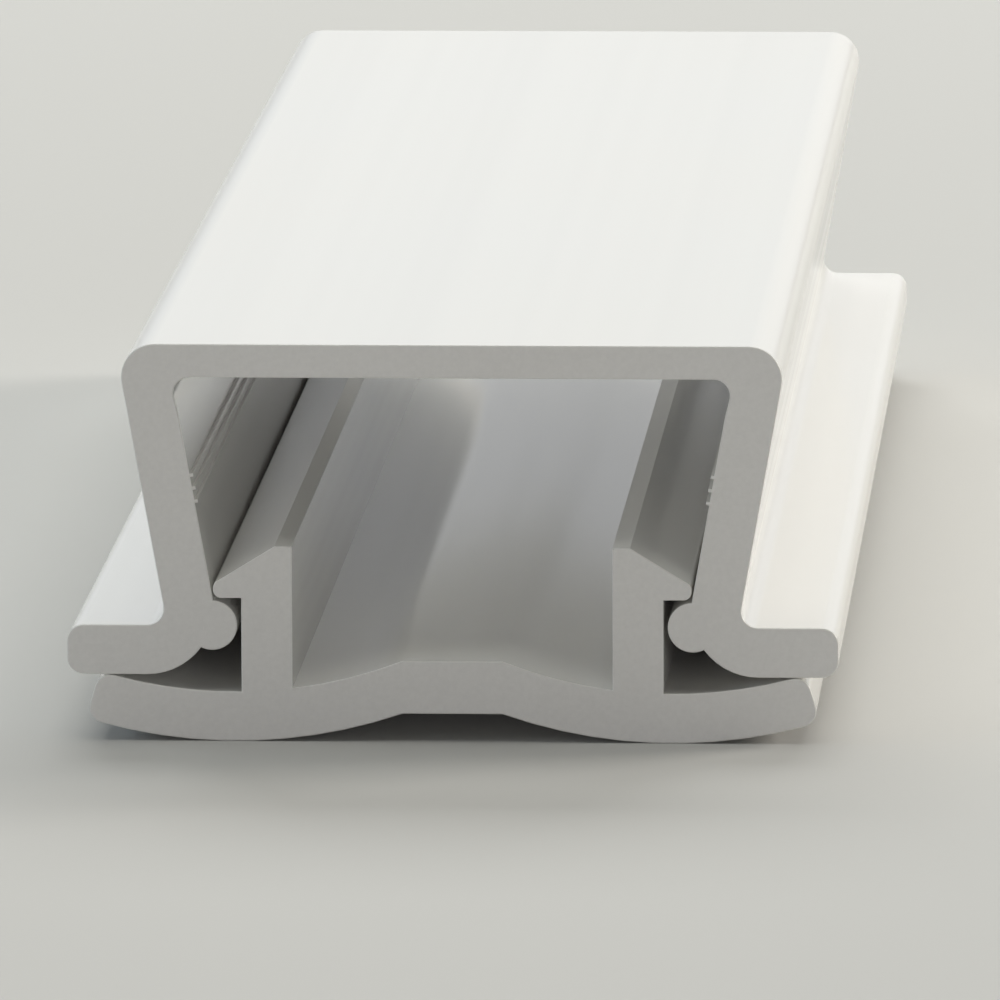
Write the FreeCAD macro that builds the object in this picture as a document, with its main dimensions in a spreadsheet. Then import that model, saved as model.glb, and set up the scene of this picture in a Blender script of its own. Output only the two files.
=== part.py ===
"""PVC clamping strip: a clip-on cover over a clamping base, both extruded profiles.

Frame, in millimetres: X across the strip, Y along it, Z up. The origin is in the middle of the strip's
length and width, at the level of the two lowest lines of the base, its lobes.
The two profiles are symmetrical about X = 0, so each section is drawn for the right half and mirrored.
"""
import FreeCAD, Part
import os
import re

import Sketcher

# Driving sizes: alias, value (mm, or degrees for an angle, or a count), meaning
SIZES = [
    ("strip_length", 150.0, "length of both profiles"),
    # Base: a web with a raised flat middle and two lobes
    ("lobe_radius", 30.6, "underside of a lobe"),
    ("lobe_offset", 13.1, "lowest line of a lobe from the middle of the strip"),
    ("web_thickness", 3.0, "web, the same all over the lobes"),
    ("crest_half_width", 3.0, "raised flat middle, half"),
    ("wing_angle", 17.0, "sweep of a lobe from its lowest line to the end of its wing"),
    ("wing_tip_radius", 1.0, "both corners of the wing's end"),
    # Base: two legs with barbs
    ("leg_spacing", 19.2, "free width between the legs"),
    ("leg_thickness", 3.05, "leg below its barb"),
    ("leg_top_flat", 1.05, "level top of a leg, beside the barb's slope"),
    ("barb_reach", 1.69, "barb's tip past the leg's outer face"),
    ("barb_slope", 31.5, "top of the barb, down from the level"),
    ("barb_tip_radius", 0.5, "rounded tip of the barb"),
    ("barb_tip_flat", 0.1, "short upright face between the tip's two roundings"),
    # Cover: walls, top and flanges
    ("cover_height", 20.0, "underside of the flanges to the top"),
    ("top_thickness", 2.0, "top plate"),
    ("wall_thickness", 3.0, "wall, square to its faces"),
    ("wall_lean", 10.1, "wall, away from the upright"),
    ("top_corner_radius", 2.0, "outer corner between top and wall"),
    ("inner_corner_radius", 1.0, "inner corner between top and wall"),
    ("relief_depth", 0.2, "inner corner past the wall's inner face"),
    ("relief_height", 2.2, "length of wall over which that relief runs out"),
    ("flange_width", 6.0, "flange, from the wall's outer face"),
    ("flange_thickness", 3.0, "flange"),
    ("flange_tip_radius", 1.0, "both corners of the flange's tip"),
    ("bend_radius", 1.0, "hollow corner between wall and flange"),
    # Cover: beads under the barbs and small ribs on the walls
    ("bead_radius", 1.5, "round bead inside the foot of a wall"),
    ("rib_width", 0.2, "rib, along the wall"),
    ("rib_depth", 0.2, "rib, proud of the wall"),
    ("rib_pitch", 0.8, "from one rib to the next"),
    ("rib_count", 3, "ribs on a wall"),
    ("rib_height", 10.5, "lowest rib above the flange's underside"),
    # Fit between the two profiles
    ("wing_clearance", 0.05, "wing's tip to the flange's underside"),
    ("bead_clearance", 0.15, "top of the bead to the underside of the barb"),
    ("bead_side_clearance", 0.25, "side of the bead to the leg"),
    ("barb_clearance", 0.1, "barb's tip to the wall"),
]

# Largest share of a thickness that one of its two rounded corners takes
CORNER_SHARE = 0.45
# Distance within which an edge counts as standing at a corner
TOLERANCE = 1e-4

# How a sketch counts the points of a line, arc or circle, its own origin and its upright axis
START_INDEX = 1
END_INDEX = 2
CENTRE_INDEX = 3
ORIGIN_INDEX = (-1, 1)
UPRIGHT_AXIS_INDEX = -2
# Place across the strip of what lies in the plane of symmetry
MIDDLE = "0"

# The web's two faces, concentric about the lobe's centre
UNDERSIDE = "lobe_radius"
UPPER_SIDE = "(lobe_radius - web_thickness)"
# Rounding of the wing's end: its upper circle's centre, about the lobe's, and the height of the wing's tip
WING_ROUND = f"min(wing_tip_radius; {CORNER_SHARE} * web_thickness)"
WING_ARM = f"({UPPER_SIDE} + {WING_ROUND})"
WING_TIP_ANGLE = f"(wing_angle * 1deg - asin({WING_ROUND} / {WING_ARM}))"
WING_TOP = f"(lobe_radius + {WING_ROUND} - {WING_ARM} * cos({WING_TIP_ANGLE}))"

# Levels, from the flanges that rest on the wings up to the top
FLANGE_UNDERSIDE = f"({WING_TOP} + wing_clearance)"
FLANGE_TOP = f"({FLANGE_UNDERSIDE} + flange_thickness)"
COVER_TOP = f"({FLANGE_UNDERSIDE} + cover_height)"
PLATE_UNDERSIDE = f"({COVER_TOP} - top_thickness)"
RELIEF_FOOT = f"({PLATE_UNDERSIDE} - relief_height)"
FLANGE_ROUND = f"min(flange_tip_radius; {CORNER_SHARE} * flange_thickness)"

# The leg, whose barb hooks over the bead, and the height of the two roundings on the barb's tip
LEG_INNER = "(leg_spacing / 2)"
LEG_OUTER = f"({LEG_INNER} + leg_thickness)"
LEG_FOOT = "(web_thickness / 2)"
FLAT_END = f"({LEG_INNER} + leg_top_flat)"
BARB_UNDERSIDE = f"({FLANGE_TOP} + bead_radius + bead_clearance)"
BARB_TIP = f"({LEG_OUTER} + barb_reach)"
BARB_ROUNDINGS = "barb_tip_radius * (1 + tan(45deg - barb_slope * 0.5deg))"
BARB_TIP_TOP = f"({BARB_UNDERSIDE} + {BARB_ROUNDINGS} + barb_tip_flat)"
LEG_TOP = f"({BARB_TIP_TOP} + ({BARB_TIP} - {FLAT_END}) * tan(barb_slope))"
BEAD_CENTRE = f"({LEG_OUTER} + bead_side_clearance + bead_radius)"

# The wall passes the barb's rounded tip, whose centre is here
TIP_CENTRE_X = f"({BARB_TIP} - barb_tip_radius)"
TIP_CENTRE_Z = f"({BARB_UNDERSIDE} + barb_tip_radius)"


def lobe_point(radius):
    """End of the wing, on the lobe's circle of this radius."""
    return f"lobe_offset + {radius} * sin(wing_angle)", f"lobe_radius - {radius} * cos(wing_angle)"


def crest_level(radius):
    """Height at which the lobe's circle of this radius meets the flat middle."""
    return f"lobe_radius - sqrt({radius}^2 - (lobe_offset - crest_half_width)^2)"


def wall_inner(level):
    """Place across the strip of the wall's inner face at this height."""
    gap = "(barb_tip_radius + barb_clearance) / cos(wall_lean)"
    return f"({TIP_CENTRE_X} + {gap} + ({level} - {TIP_CENTRE_Z}) * tan(wall_lean))"


def wall_outer(level):
    """Place across the strip of the wall's outer face at this height."""
    return f"({wall_inner(level)} + wall_thickness / cos(wall_lean))"


def bound(expression):
    """Points each size in an expression at its cell of the sheet."""
    return re.sub(r"[a-z]+(?:_[a-z]+)+", lambda size: f"Sizes.{size.group()}", expression)


def value(sheet, expression):
    """Present value of an expression."""
    return float(sheet.evalExpression(bound(expression)))


def make_sheet(document):
    """Spreadsheet with the driving sizes."""
    sheet = document.addObject("Spreadsheet::Sheet", "Sizes")
    for row, (alias, number, meaning) in enumerate(SIZES, start=1):
        sheet.set(f"A{row}", alias)
        sheet.set(f"B{row}", str(number))
        sheet.set(f"C{row}", meaning)
        sheet.setAlias(f"B{row}", alias)
    document.recompute()
    return sheet


def make_body(document, name):
    """Body for one profile, labelled with its name."""
    body = document.addObject("PartDesign::Body", name)
    body.Label = name
    return body


def origin_plane(body, role):
    """Origin plane of a body, by its role."""
    return next(feature for feature in body.Origin.OriginFeatures if feature.Role == role)


def section_sketch(body, name):
    """Empty sketch square to the strip: its X is the strip's X and its Y the strip's Z."""
    sketch = body.newObject("Sketcher::SketchObject", name)
    sketch.AttachmentSupport = [(origin_plane(body, "XZ_Plane"), "")]
    sketch.MapMode = "FlatFace"
    return sketch


def hold(sketch, sheet, name, expression, *constraint):
    """Adds a named dimension to a sketch and binds it to an expression."""
    index = sketch.addConstraint(Sketcher.Constraint(*constraint, value(sheet, expression)))
    sketch.renameConstraint(index, name)
    sketch.setExpression(f"Constraints.{name}", bound(expression))


def hold_point(sketch, sheet, name, geometry, end, across, level):
    """Holds a point of a sketch at a place across the strip and a level, each an expression."""
    if across == MIDDLE:
        sketch.addConstraint(Sketcher.Constraint("PointOnObject", geometry, end, UPRIGHT_AXIS_INDEX))
    else:
        hold(sketch, sheet, f"{name}_x", across, "DistanceX", *ORIGIN_INDEX, geometry, end)
    hold(sketch, sheet, f"{name}_z", level, "DistanceY", *ORIGIN_INDEX, geometry, end)


def draw_outline(body, sheet, name, corners, arcs=None):
    """Closed outline through named corners.

    A side is straight unless arcs names its first corner: it then gives the arc's radius and whether the
    arc runs anticlockwise. An arc's centre is above both of its ends.
    """
    sketch = section_sketch(body, name)
    arcs = arcs or {}
    places = [FreeCAD.Vector(value(sheet, x), value(sheet, z), 0) for _, x, z in corners]
    ends = []
    for index, (corner, _, _) in enumerate(corners):
        start = places[index]
        stop = places[(index + 1) % len(places)]
        if corner not in arcs:
            line = sketch.addGeometry(Part.LineSegment(start, stop))
            ends.append((line, START_INDEX, END_INDEX))
            continue
        radius, anticlockwise = arcs[corner]
        left, right = (start, stop) if anticlockwise else (stop, start)
        chord = right - left
        rise = (value(sheet, radius) ** 2 - (chord.Length / 2) ** 2) ** 0.5
        centre = (left + right) / 2 + FreeCAD.Vector(-chord.y, chord.x, 0).normalize() * rise
        circle = Part.Circle(centre, FreeCAD.Vector(0, 0, 1), value(sheet, radius))
        arc = sketch.addGeometry(Part.ArcOfCircle(circle, circle.parameter(left), circle.parameter(right)))
        hold(sketch, sheet, f"{corner}_radius", radius, "Radius", arc)
        ends.append((arc, START_INDEX, END_INDEX) if anticlockwise else (arc, END_INDEX, START_INDEX))
    for index, (corner, across, level) in enumerate(corners):
        side, start_end, _ = ends[index]
        before, _, stop_end = ends[index - 1]
        sketch.addConstraint(Sketcher.Constraint("Coincident", before, stop_end, side, start_end))
        hold_point(sketch, sheet, corner, side, start_end, across, level)
    return sketch


def extrude(body, sketch, name):
    """Pads a section over the strip's length, half of it to each side of the origin."""
    pad = body.newObject("PartDesign::Pad", name)
    pad.Profile = sketch
    pad.SideType = "Symmetric"
    pad.setExpression("Length", bound("strip_length"))
    sketch.Visibility = False
    body.Document.recompute()
    return pad


def stands_at(edge, place):
    """Whether an edge runs along the strip through a place of the section."""
    return all(
        abs(vertex.X - place[0]) < TOLERANCE and abs(vertex.Z - place[1]) < TOLERANCE
        for vertex in edge.Vertexes)


def round_corners(body, sheet, name, radius, outline, *corners):
    """Fillets the long edges that stand at the named corners of an outline."""
    base = body.Tip
    places = [(value(sheet, x), value(sheet, z)) for corner, x, z in outline if corner in corners]
    edges = [
        f"Edge{number}"
        for number, edge in enumerate(base.Shape.Edges, start=1)
        if any(stands_at(edge, place) for place in places)]
    if len(edges) != len(corners):
        raise RuntimeError(f"{name}: {len(edges)} edges found for the corners {corners}")
    fillet = body.newObject("PartDesign::Fillet", name)
    fillet.Base = (base, edges)
    fillet.setExpression("Radius", bound(radius))
    body.Document.recompute()
    return fillet


def mirror_half(body, name):
    """Adds the left half of a profile."""
    mirrored = body.newObject("PartDesign::Mirrored", name)
    mirrored.TransformMode = "Whole shape"
    mirrored.MirrorPlane = (origin_plane(body, "YZ_Plane"), [""])
    body.Tip = mirrored
    body.Document.recompute()
    return mirrored


def make_base(document, sheet):
    """Clamping base: lobed web with two barbed legs."""
    body = make_body(document, "base_profile")
    web = [
        ("crest_underside", "crest_half_width", crest_level(UNDERSIDE)),
        ("wing_underside", *lobe_point(UNDERSIDE)),
        ("wing_upper", *lobe_point(UPPER_SIDE)),
        ("crest_upper", "crest_half_width", crest_level(UPPER_SIDE)),
        ("middle_upper", MIDDLE, crest_level(UPPER_SIDE)),
        ("middle_underside", MIDDLE, crest_level(UNDERSIDE)),
    ]
    arcs = {"crest_underside": (UNDERSIDE, True), "wing_upper": (UPPER_SIDE, False)}
    extrude(body, draw_outline(body, sheet, "web_section", web, arcs), "web")
    round_corners(body, sheet, "wing_end", WING_ROUND, web, "wing_underside", "wing_upper")
    leg = [
        ("foot_inner", LEG_INNER, LEG_FOOT),
        ("foot_outer", LEG_OUTER, LEG_FOOT),
        ("barb_root", LEG_OUTER, BARB_UNDERSIDE),
        ("barb_tip_lower", BARB_TIP, BARB_UNDERSIDE),
        ("barb_tip_upper", BARB_TIP, BARB_TIP_TOP),
        ("top_outer", FLAT_END, LEG_TOP),
        ("top_inner", LEG_INNER, LEG_TOP),
    ]
    extrude(body, draw_outline(body, sheet, "leg_section", leg), "leg")
    round_corners(body, sheet, "barb_tip", "barb_tip_radius", leg, "barb_tip_lower", "barb_tip_upper")
    mirror_half(body, "both_halves")
    return body


def make_cover(document, sheet):
    """Clip-on cover: top, leaning walls with ribs and beads, and flanges."""
    body = make_body(document, "cover_profile")
    flange_tip = f"{wall_outer(FLANGE_TOP)} + flange_width"
    shell = [
        ("top_middle", MIDDLE, COVER_TOP),
        ("plate_middle", MIDDLE, PLATE_UNDERSIDE),
        ("inner_corner", f"{wall_inner(PLATE_UNDERSIDE)} + relief_depth", PLATE_UNDERSIDE),
        ("relief_foot", wall_inner(RELIEF_FOOT), RELIEF_FOOT),
        ("outer_bend", wall_inner(FLANGE_UNDERSIDE), FLANGE_UNDERSIDE),
        ("tip_lower", flange_tip, FLANGE_UNDERSIDE),
        ("tip_upper", flange_tip, FLANGE_TOP),
        ("inner_bend", wall_outer(FLANGE_TOP), FLANGE_TOP),
        ("top_corner", wall_outer(COVER_TOP), COVER_TOP),
    ]
    extrude(body, draw_outline(body, sheet, "shell_section", shell), "shell")
    round_corners(body, sheet, "flange_tip", FLANGE_ROUND, shell, "tip_lower", "tip_upper")
    round_corners(body, sheet, "hollow_bend", "bend_radius", shell, "inner_bend")
    round_corners(body, sheet, "full_bend", "bend_radius + wall_thickness", shell, "outer_bend")
    round_corners(body, sheet, "top_edge", "top_corner_radius", shell, "top_corner")
    round_corners(body, sheet, "relieved_corner", "inner_corner_radius", shell, "inner_corner")
    extrude(body, bead_sketch(body, sheet), "bead")
    add_ribs(body, sheet)
    mirror_half(body, "both_halves")
    return body


def bead_sketch(body, sheet):
    """Circle of the bead, half sunk in the bend beside the leg."""
    sketch = section_sketch(body, "bead_section")
    centre = FreeCAD.Vector(value(sheet, BEAD_CENTRE), value(sheet, FLANGE_TOP), 0)
    bead = Part.Circle(centre, FreeCAD.Vector(0, 0, 1), value(sheet, "bead_radius"))
    circle = sketch.addGeometry(bead)
    hold(sketch, sheet, "bead_radius", "bead_radius", "Radius", circle)
    hold_point(sketch, sheet, "bead", circle, CENTRE_INDEX, BEAD_CENTRE, FLANGE_TOP)
    return sketch


def add_ribs(body, sheet):
    """Lowest rib on the wall's inner face, repeated up the wall."""
    def on_wall(along, proud):
        """Place so far up the wall from the lowest rib's middle and so far proud of its inner face."""
        level = f"({FLANGE_UNDERSIDE} + rib_height)"
        across = f"{wall_inner(level)} + ({along}) * sin(wall_lean) - ({proud}) * cos(wall_lean)"
        return across, f"{level} + ({along}) * cos(wall_lean) + ({proud}) * sin(wall_lean)"

    rib = [
        ("root_lower", *on_wall("-rib_width / 2", "-rib_depth")),
        ("root_upper", *on_wall("rib_width / 2", "-rib_depth")),
        ("crest_upper", *on_wall("rib_width / 2", "rib_depth")),
        ("crest_lower", *on_wall("-rib_width / 2", "rib_depth")),
    ]
    sketch = draw_outline(body, sheet, "rib_section", rib)
    root = 0
    up_the_wall = Part.LineSegment(sketch.getPoint(root, START_INDEX), sketch.getPoint(root, END_INDEX))
    guide = sketch.addGeometry(up_the_wall, True)
    sketch.addConstraint(Sketcher.Constraint("Coincident", guide, START_INDEX, root, START_INDEX))
    sketch.addConstraint(Sketcher.Constraint("Coincident", guide, END_INDEX, root, END_INDEX))
    rib_pad = extrude(body, sketch, "rib")
    ribs = body.newObject("PartDesign::LinearPattern", "ribs")
    ribs.Originals = [rib_pad]
    ribs.Direction = (sketch, ["Axis0"])
    ribs.Mode = "Spacing"
    ribs.setExpression("Offset", bound("rib_pitch"))
    ribs.setExpression("Occurrences", bound("rib_count"))
    body.Tip = ribs
    body.Document.recompute()


def check(document, bodies):
    """Stops where an object failed or a profile isn't one valid solid."""
    failed = [item.Name for item in document.Objects if {"Invalid", "Error"} & set(item.State)]
    if failed:
        raise RuntimeError(f"failed: {failed}")
    for body in bodies:
        shape = body.Shape
        if shape.isNull() or not shape.isValid() or len(shape.Solids) != 1:
            raise RuntimeError(f"{body.Label} isn't one valid solid")


def main():
    """Builds both profiles and writes each to its own file."""
    document = FreeCAD.newDocument("ClampingStrip")
    sheet = make_sheet(document)
    bodies = [make_base(document, sheet), make_cover(document, sheet)]
    document.recompute()
    check(document, bodies)
    os.makedirs("parts", exist_ok=True)
    for body in bodies:
        body.Shape.exportStep(f"parts/{body.Label}.step")
        box = body.Shape.BoundBox
        print(f"{body.Label}: {box.XLength:.3f} x {box.YLength:.3f} x {box.ZLength:.3f} mm,"
              f" z {box.ZMin:.3f} to {box.ZMax:.3f}, {body.Shape.Volume:.1f} mm3")


main()
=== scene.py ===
"""Looks of the PVC clamping strip: white extruded plastic with sawn ends, on a plain pale floor."""

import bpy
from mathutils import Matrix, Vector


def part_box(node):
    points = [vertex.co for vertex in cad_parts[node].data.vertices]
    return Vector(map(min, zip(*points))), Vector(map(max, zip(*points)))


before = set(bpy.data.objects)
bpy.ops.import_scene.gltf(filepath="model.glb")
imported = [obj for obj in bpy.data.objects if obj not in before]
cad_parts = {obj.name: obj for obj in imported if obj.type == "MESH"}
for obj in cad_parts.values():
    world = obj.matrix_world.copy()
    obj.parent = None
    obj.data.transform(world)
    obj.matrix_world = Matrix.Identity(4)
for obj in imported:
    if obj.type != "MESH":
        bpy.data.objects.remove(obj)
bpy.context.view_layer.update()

import math

import bpy
from mathutils import Matrix, Vector

MM = 0.001
HALF_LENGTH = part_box("cover_profile")[1].y

# Camera with a very long lens, where the strip's outline matches the photo best; angles in degrees
CAMERA_PLACE = (50.1 * MM, -919.3 * MM, 149.4 * MM)
CAMERA_YAW = -3.20
CAMERA_PITCH = 9.05
CAMERA_ROLL = -0.21
CAMERA_LENS = 516.2
CAMERA_SENSOR = 36.0
CAMERA_NEAR = 0.05
CAMERA_FAR = 60.0

# Floor and background
FLOOR_SIDE = 24.0
FLOOR_COLOUR = (0.62, 0.62, 0.61, 1.0)
FLOOR_ROUGHNESS = 0.9
FLOOR_GLOSS = 0.1
BACKGROUND_COLOUR = (0.65, 0.65, 0.64, 1.0)
AMBIENT = 0.03
AMBIENT_COLOUR = (1.0, 1.0, 1.0, 1.0)
LIGHT_BOUNCES = 8

# Soft studio lamps: name, place, width and height, what it points at, power in watts, colour
LAMPS = [
    ("overhead_softbox", (0.0, 0.0, 1.10), (1.20, 1.20), (0.0, 0.0, 0.0), 5.8, (1.0, 0.98, 0.88)),
    ("right_softbox", (1.36, 0.58, 0.56), (0.60, 0.40), (0.0, 0.0, 0.0), 12.8, (1.0, 0.94, 0.86)),
    ("left_softbox", (-1.30, 0.00, 0.60), (1.40, 0.50), (0.0, 0.0, 0.0), 3.9, (0.72, 0.87, 1.0)),
    ("front_softbox", (0.10, -1.90, 0.18), (1.60, 0.30), (0.0, 0.0, 0.01), 6.1, (1.0, 0.97, 1.0)),
    ("back_softbox", (0.0, 1.50, 1.20), (1.60, 0.80), (0.0, 0.0, 0.0), 22.6, (0.99, 1.0, 0.98)),
    ("low_back_softbox", (0.0, 2.00, 0.36), (2.40, 0.60), (0.0, 0.0, 0.01), 0.8, (0.80, 0.88, 1.0)),
]

# Edges of the sawn ends, broken by hand after the cut
EDGE_BREAK = 0.08 * MM
EDGE_STEPS = 2
WELD_REACH = 0.001 * MM
FLAT_ANGLE = math.radians(0.5)
CREASE_ANGLE = math.radians(25)
END_EDGE_ANGLE = math.radians(60)
END_REACH = 0.01 * MM

# Plastic as extruded, and where the saw went through it; the sawn ends' colours are darker than the
# plastic, a little for the dull cut and the rest painted shade
PVC_COLOUR = (0.900, 0.900, 0.885, 1.0)
PVC_WARMER = (0.905, 0.897, 0.870, 1.0)
SAWN_SHADED_COLOUR = (0.715, 0.710, 0.682, 1.0)
SAWN_SHADED_PALER = (0.750, 0.745, 0.717, 1.0)
PVC_ROUGHNESS = (0.135, 0.165)
SAWN_ROUGHNESS = (0.50, 0.62)
PVC_REFRACTION = 1.52
SAWN_DEPTH = 0.10 * MM

# Noises: where each piece lies in them, in millimetres, and the range that holds most of their values.
# A squeeze multiplies the places on each axis before the noise is read, so a small one draws it out.
COVER_OFFSET = (0.0, 0.0, 0.0)
BASE_OFFSET = (71.0, 400.0, 37.0)
NOISE_LOW = 0.3
NOISE_HIGH = 0.7
NO_SQUEEZE = (1.0, 1.0, 1.0)

# Marks of the die: squeezes, waves to a millimetre, and a height in millimetres
DIE_SQUEEZE = (1.0, 0.0005, 1.0)
DIE_LINES = 1.1
DIE_LINE_HEIGHT = 0.0015
BROAD_LINES = 0.35
CLOUD_SQUEEZE = (1.0, 0.35, 1.0)
CLOUDS = 0.05

# Marks of the saw: the blade's centre and the heights in millimetres, the strokes in radians to a
# millimetre, how many radians they wander, and the scratches in waves to a millimetre
BLADE_CENTRE = {"X": -96.0, "Y": 0.0, "Z": 128.0}
STROKES = 9.0
STROKE_HEIGHT = 0.0015
WANDER_SQUEEZE = (0.2, 0.2, 0.2)
WANDER = 14.0
SCRATCHES = 3.5
SCRATCH_HEIGHT = 0.006

# Places of a Mix node's two inputs and of its output, for each kind of data
MIX_SOCKETS = {"FLOAT": (2, 3, 0), "RGBA": (6, 7, 2)}


def add_node(tree, kind, inputs=None, **settings):
    """Adds a node, sets its properties, and gives its inputs numbers or links."""
    node = tree.nodes.new(kind)
    for name, setting in settings.items():
        setattr(node, name, setting)
    for name, given in (inputs or {}).items():
        if isinstance(given, bpy.types.NodeSocket):
            tree.links.new(given, node.inputs[name])
        else:
            node.inputs[name].default_value = given
    return node


def calculate(tree, operation, first, second=0.0):
    """Output of a sum on one or two numbers or links."""
    return add_node(tree, "ShaderNodeMath", {0: first, 1: second}, operation=operation).outputs[0]


def spread(tree, value, low, high, to_low, to_high):
    """Value moved from one range to another, and kept inside it."""
    inputs = {"Value": value, "From Min": low, "From Max": high, "To Min": to_low, "To Max": to_high}
    return add_node(tree, "ShaderNodeMapRange", inputs).outputs["Result"]


def blend(tree, kind, share, first, second):
    """Number or colour between two others."""
    first_place, second_place, result_place = MIX_SOCKETS[kind]
    inputs = {0: share, first_place: first, second_place: second}
    return add_node(tree, "ShaderNodeMix", inputs, data_type=kind).outputs[result_place]


def noise(tree, places, squeeze, scale, detail):
    """Noise at places in millimetres, squeezed first."""
    squeezed = add_node(tree, "ShaderNodeVectorMath", {0: places, 1: squeeze}, operation="MULTIPLY")
    inputs = {"Vector": squeezed.outputs[0], "Scale": scale, "Detail": detail}
    return add_node(tree, "ShaderNodeTexNoise", inputs).outputs["Fac"]


def make_camera():
    """Camera by place, yaw to the right, pitch down and roll, in degrees."""
    data = bpy.data.cameras.new("camera")
    data.lens = CAMERA_LENS
    data.sensor_width = CAMERA_SENSOR
    data.sensor_fit = "HORIZONTAL"
    data.clip_start = CAMERA_NEAR
    data.clip_end = CAMERA_FAR
    camera = bpy.data.objects.new("camera", data)
    bpy.context.scene.collection.objects.link(camera)
    yaw = math.radians(CAMERA_YAW)
    pitch = math.radians(CAMERA_PITCH)
    roll = math.radians(CAMERA_ROLL)
    forward = Vector((math.sin(yaw) * math.cos(pitch), math.cos(yaw) * math.cos(pitch), -math.sin(pitch)))
    level = Vector((math.cos(yaw), -math.sin(yaw), 0.0))
    steep = level.cross(forward)
    right = level * math.cos(roll) + steep * math.sin(roll)
    up = steep * math.cos(roll) - level * math.sin(roll)
    turned = Matrix((right, up, -forward)).transposed().to_4x4()
    camera.matrix_world = Matrix.Translation(CAMERA_PLACE) @ turned
    bpy.context.scene.camera = camera


def make_floor():
    """Plain pale floor under the strip."""
    half = FLOOR_SIDE / 2
    mesh = bpy.data.meshes.new("floor")
    corners = [(-half, -half, 0.0), (half, -half, 0.0), (half, half, 0.0), (-half, half, 0.0)]
    mesh.from_pydata(corners, [], [(0, 1, 2, 3)])
    floor = bpy.data.objects.new("floor", mesh)
    bpy.context.scene.collection.objects.link(floor)
    material = bpy.data.materials.new("floor_paint")
    material.use_nodes = True
    shader = material.node_tree.nodes["Principled BSDF"]
    shader.inputs["Base Color"].default_value = FLOOR_COLOUR
    shader.inputs["Roughness"].default_value = FLOOR_ROUGHNESS
    shader.inputs["Specular IOR Level"].default_value = FLOOR_GLOSS
    mesh.materials.append(material)


def make_lamp(name, place, sides, target, power, colour):
    """Soft lamp that points at a target."""
    data = bpy.data.lights.new(name, "AREA")
    data.shape = "RECTANGLE"
    data.size, data.size_y = sides
    data.energy = power
    data.color = colour
    lamp = bpy.data.objects.new(name, data)
    bpy.context.scene.collection.objects.link(lamp)
    direction = Vector(target) - Vector(place)
    lamp.matrix_world = Matrix.Translation(place) @ direction.to_track_quat("-Z", "Y").to_matrix().to_4x4()
    lamp.visible_camera = False


def make_world():
    """Pale background for the camera and for reflections, and a faint ambient light."""
    world = bpy.data.worlds.new("studio")
    bpy.context.scene.world = world
    world.use_nodes = True
    tree = world.node_tree
    tree.nodes.clear()
    path = add_node(tree, "ShaderNodeLightPath")
    seen = calculate(tree, "MAXIMUM", path.outputs["Is Camera Ray"], path.outputs["Is Glossy Ray"])
    ambient = add_node(tree, "ShaderNodeBackground", {"Color": AMBIENT_COLOUR, "Strength": AMBIENT})
    pale = add_node(tree, "ShaderNodeBackground", {"Color": BACKGROUND_COLOUR, "Strength": 1.0})
    mix = add_node(tree, "ShaderNodeMixShader", {0: seen, 1: ambient.outputs[0], 2: pale.outputs[0]})
    add_node(tree, "ShaderNodeOutputWorld", {"Surface": mix.outputs[0]})


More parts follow.
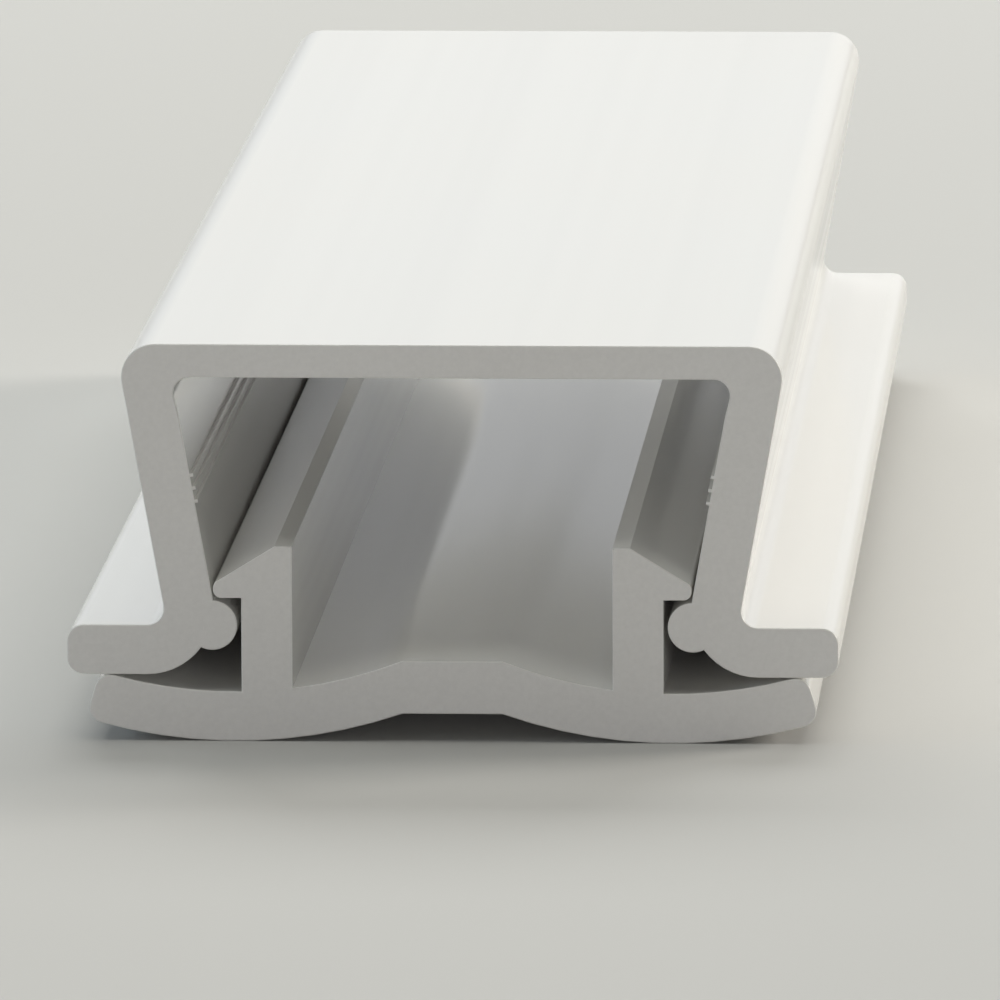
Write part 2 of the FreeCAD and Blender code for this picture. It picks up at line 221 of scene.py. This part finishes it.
def make_pvc(name, offset):
    """White PVC: satin with faint die lines along the strip, and dull with saw marks on its ends, whose
    colour is darkened with painted shade.
    """
    material = bpy.data.materials.new(name)
    material.use_nodes = True
    tree = material.node_tree
    shader = tree.nodes["Principled BSDF"]
    origin = add_node(tree, "ShaderNodeTexCoord").outputs["Object"]
    in_mm = add_node(tree, "ShaderNodeVectorMath", {0: origin, 3: 1.0 / MM}, operation="SCALE").outputs[0]
    places = add_node(tree, "ShaderNodeVectorMath", {0: in_mm, 1: offset}, operation="ADD").outputs[0]

    # Die lines run the whole length, so the noise hardly changes along the strip
    die_lines = noise(tree, places, DIE_SQUEEZE, DIE_LINES, detail=0.0)
    broad_lines = noise(tree, places, DIE_SQUEEZE, BROAD_LINES, detail=1.0)
    clouds = noise(tree, places, CLOUD_SQUEEZE, CLOUDS, detail=2.0)

    # The saw's teeth leave shallow arcs across the end
    split = add_node(tree, "ShaderNodeSeparateXYZ", {0: in_mm})
    blade = add_node(tree, "ShaderNodeCombineXYZ", BLADE_CENTRE).outputs[0]
    on_face = {"X": split.outputs["X"], "Z": split.outputs["Z"]}
    flat = add_node(tree, "ShaderNodeCombineXYZ", on_face).outputs[0]
    from_blade = add_node(tree, "ShaderNodeVectorMath", {0: flat, 1: blade}, operation="DISTANCE")
    turns = calculate(tree, "MULTIPLY", from_blade.outputs["Value"], STROKES)
    wander = noise(tree, places, WANDER_SQUEEZE, scale=1.0, detail=2.0)
    wandering = calculate(tree, "MULTIPLY", wander, WANDER)
    strokes = calculate(tree, "SINE", calculate(tree, "ADD", turns, wandering))
    scratches = noise(tree, places, NO_SQUEEZE, SCRATCHES, detail=3.0)
    end_distance = calculate(tree, "ABSOLUTE", split.outputs["Y"])
    sawn_and_shaded = spread(tree, end_distance, (HALF_LENGTH - SAWN_DEPTH) / MM, HALF_LENGTH / MM, 0.0, 1.0)

    cloudy = spread(tree, clouds, NOISE_LOW, NOISE_HIGH, 0.0, 1.0)
    plastic = blend(tree, "RGBA", cloudy, PVC_COLOUR, PVC_WARMER)
    scratched = spread(tree, scratches, NOISE_LOW, NOISE_HIGH, 0.0, 1.0)
    # The sawn ends are coloured darker than the plastic: painted shade, on top of a little real dullness
    # of the cut
    shaded_cut = blend(tree, "RGBA", scratched, SAWN_SHADED_COLOUR, SAWN_SHADED_PALER)
    tree.links.new(blend(tree, "RGBA", sawn_and_shaded, plastic, shaded_cut), shader.inputs["Base Color"])

    shine = spread(tree, broad_lines, NOISE_LOW, NOISE_HIGH, *PVC_ROUGHNESS)
    dull = spread(tree, scratches, NOISE_LOW, NOISE_HIGH, *SAWN_ROUGHNESS)
    tree.links.new(blend(tree, "FLOAT", sawn_and_shaded, shine, dull), shader.inputs["Roughness"])

    smooth_relief = calculate(tree, "MULTIPLY", die_lines, DIE_LINE_HEIGHT)
    stroke_relief = calculate(tree, "MULTIPLY", strokes, STROKE_HEIGHT)
    scratch_relief = calculate(tree, "MULTIPLY", scratches, SCRATCH_HEIGHT)
    sawn_relief = calculate(tree, "ADD", stroke_relief, scratch_relief)
    relief = blend(tree, "FLOAT", sawn_and_shaded, smooth_relief, sawn_relief)
    bump = add_node(tree, "ShaderNodeBump", {"Height": relief, "Strength": 1.0, "Distance": MM})
    tree.links.new(bump.outputs["Normal"], shader.inputs["Normal"])
    shader.inputs["IOR"].default_value = PVC_REFRACTION
    return material


def mark_end_edges():
    """Node group that smooths a profile's curves and marks the edges around its sawn ends."""
    tree = bpy.data.node_groups.new("end_edges", "GeometryNodeTree")
    tree.interface.new_socket("Geometry", in_out="INPUT", socket_type="NodeSocketGeometry")
    tree.interface.new_socket("Geometry", in_out="OUTPUT", socket_type="NodeSocketGeometry")
    given = add_node(tree, "NodeGroupInput").outputs[0]
    plain = add_node(tree, "GeometryNodeRemoveAttribute", {"Geometry": given, "Name": "custom_normal"})
    smooth = add_node(tree, "GeometryNodeSetShadeSmooth", {"Geometry": plain.outputs[0]}, domain="FACE")
    angle = add_node(tree, "GeometryNodeInputMeshEdgeAngle").outputs["Unsigned Angle"]
    rounded = calculate(tree, "LESS_THAN", angle, CREASE_ANGLE)
    inputs = {"Geometry": smooth.outputs[0], "Shade Smooth": rounded}
    creased = add_node(tree, "GeometryNodeSetShadeSmooth", inputs, domain="EDGE")
    place = add_node(tree, "GeometryNodeInputPosition").outputs[0]
    along = add_node(tree, "ShaderNodeSeparateXYZ", {0: place}).outputs["Y"]
    at_end = calculate(tree, "GREATER_THAN", calculate(tree, "ABSOLUTE", along), HALF_LENGTH - END_REACH)
    turned = calculate(tree, "GREATER_THAN", angle, END_EDGE_ANGLE)
    weight = calculate(tree, "MULTIPLY", at_end, turned)
    inputs = {"Geometry": creased.outputs[0], "Name": "bevel_weight_edge", "Value": weight}
    marked = add_node(tree, "GeometryNodeStoreNamedAttribute", inputs, data_type="FLOAT", domain="EDGE")
    add_node(tree, "NodeGroupOutput", {0: marked.outputs[0]})
    return tree


def break_edges(profile, marker):
    """Takes the sharpness off the edges of a profile's sawn ends."""
    weld = profile.modifiers.new("joined_faces", "WELD")
    weld.merge_threshold = WELD_REACH
    flat = profile.modifiers.new("flat_faces", "DECIMATE")
    flat.decimate_type = "DISSOLVE"
    flat.angle_limit = FLAT_ANGLE
    profile.modifiers.new("end_edges", "NODES").node_group = marker
    bevel = profile.modifiers.new("edge_break", "BEVEL")
    bevel.limit_method = "WEIGHT"
    bevel.width = EDGE_BREAK
    bevel.segments = EDGE_STEPS
    bevel.use_clamp_overlap = False
    shading = profile.modifiers.new("flat_shading", "WEIGHTED_NORMAL")
    shading.keep_sharp = True


def dress(node_name, material, marker):
    """Gives a CAD profile its plastic and its broken edges."""
    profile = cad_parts[node_name]
    slot = profile.material_slots[0]
    slot.link = "OBJECT"
    slot.material = material
    break_edges(profile, marker)


make_camera()
make_floor()
make_world()
for lamp in LAMPS:
    make_lamp(*lamp)
end_marker = mark_end_edges()
dress("cover_profile", make_pvc("cover_pvc", COVER_OFFSET), end_marker)
dress("base_profile", make_pvc("base_pvc", BASE_OFFSET), end_marker)

bpy.context.scene.view_settings.view_transform = "Standard"
bpy.context.scene.cycles.diffuse_bounces = LIGHT_BOUNCES
